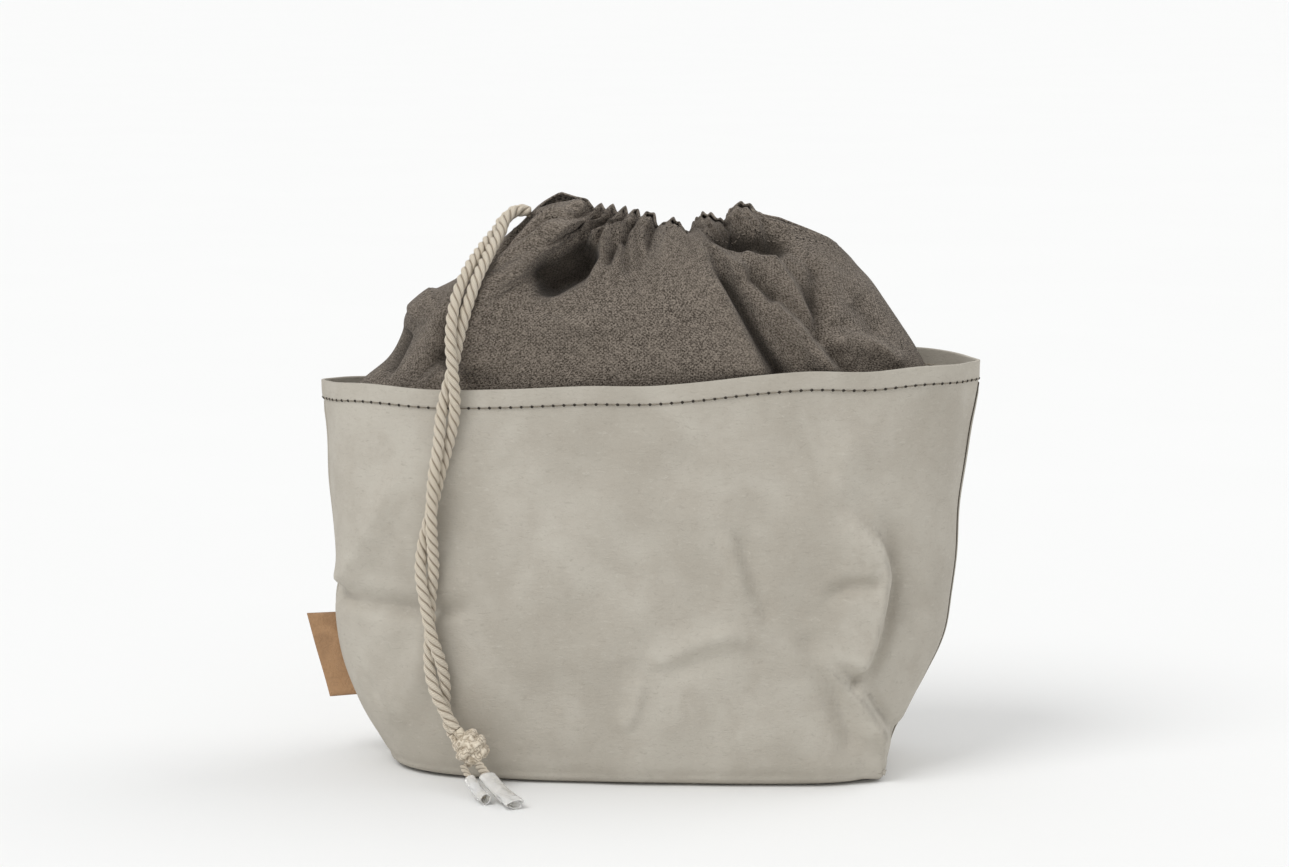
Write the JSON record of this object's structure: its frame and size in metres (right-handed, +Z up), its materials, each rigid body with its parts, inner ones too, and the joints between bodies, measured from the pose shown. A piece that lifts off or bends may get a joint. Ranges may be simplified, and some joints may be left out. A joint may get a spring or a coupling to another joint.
{
  "type": "bread bag",
  "caption": "Soft bread bag: an open paper-cloth basket with a flat base and a cotton inner bag gathered at the top by a knotted rope drawstring.",
  "frame": {"origin": "middle of the flat base, on the surface that the bag stands on", "axes": "+Z up, +X along the long side to the right as seen from the front, +Y from the front towards the back; the rope tails hang in front"},
  "size_m": [0.3126, 0.1662, 0.2636],
  "materials": {
    "paper_cloth": "matt washed paper cloth",
    "liner_cotton": "plain woven linen look",
    "rope_cotton": "twisted cotton rope",
    "clear_sleeve": "clear shrunk film",
    "tag_leather": "smooth, plain"
  },
  "bodies": {
    "root": {"shell": "paper_cloth", "liner": "liner_cotton", "rope_left": "rope_cotton", "rope_right": "rope_cotton", "knot": "rope_cotton", "end_left": "rope_cotton", "end_right": "rope_cotton", "sleeve_left": "clear_sleeve", "sleeve_right": "clear_sleeve", "tag": "tag_leather"}
  },
  "joints": []
}
